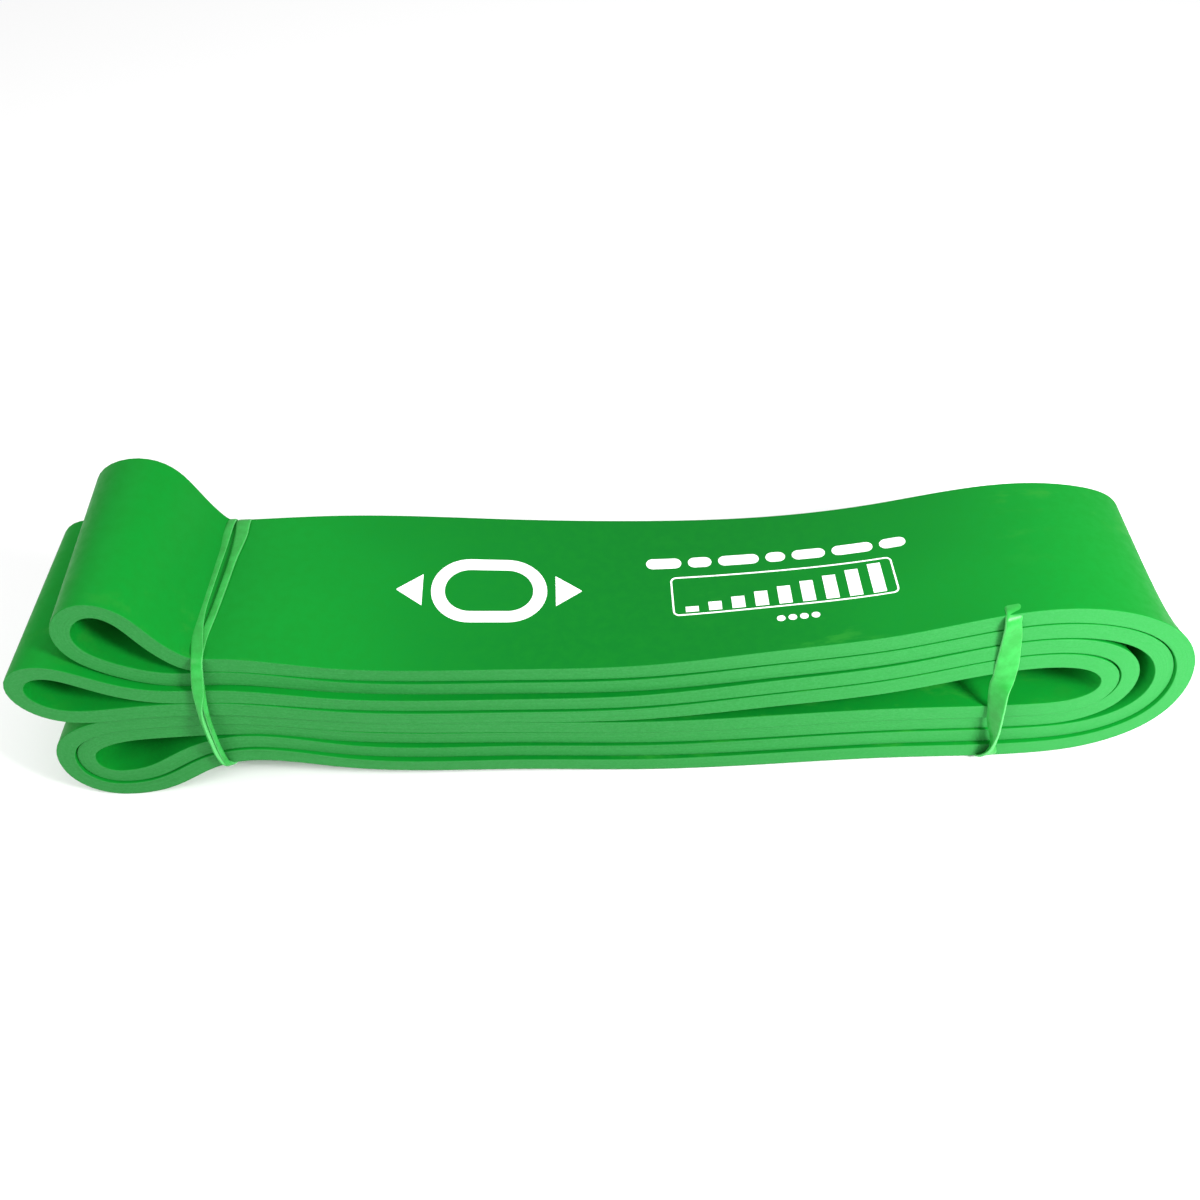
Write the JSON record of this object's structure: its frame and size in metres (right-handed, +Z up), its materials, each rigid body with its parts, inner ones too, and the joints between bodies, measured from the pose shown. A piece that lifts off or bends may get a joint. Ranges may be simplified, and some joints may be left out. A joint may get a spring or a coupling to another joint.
{
  "type": "loop resistance band",
  "caption": "Endless latex resistance band folded flat into a stack of runs, held near each end by a small latex elastic.",
  "frame": {"origin": "bottom centre of the folded bundle's box, on the surface that it lies on", "axes": "+X along the runs, from the end with the separate loops to the end with the nested turns; +Y across the strip's width; +Z up through the layers"},
  "size_m": [0.2658, 0.0523, 0.0648],
  "materials": {
    "band_latex": "satin moulded and layered latex, opaque mid green, with lighter ground cut edges",
    "tie_latex": "smooth stretched latex, light translucent green",
    "print_ink": "thin flexible white screen-printing ink on the outer face"
  },
  "bodies": {
    "band": {"band_loop": "band_latex"},
    "left_tie": {"left_tie": "tie_latex"},
    "right_tie": {"right_tie": "tie_latex"}
  },
  "joints": [
    {"name": "left_tie_slide", "type": "slide", "parent": "band", "child": "left_tie", "axis": [-0.995, 0, 0.0995], "range_m": [0, 0.056], "deforming": ["left_tie"]},
    {"name": "right_tie_slide", "type": "slide", "parent": "band", "child": "right_tie", "axis": [1, 0, 0], "range_m": [-0.017, 0.057], "deforming": ["right_tie"]}
  ]
}
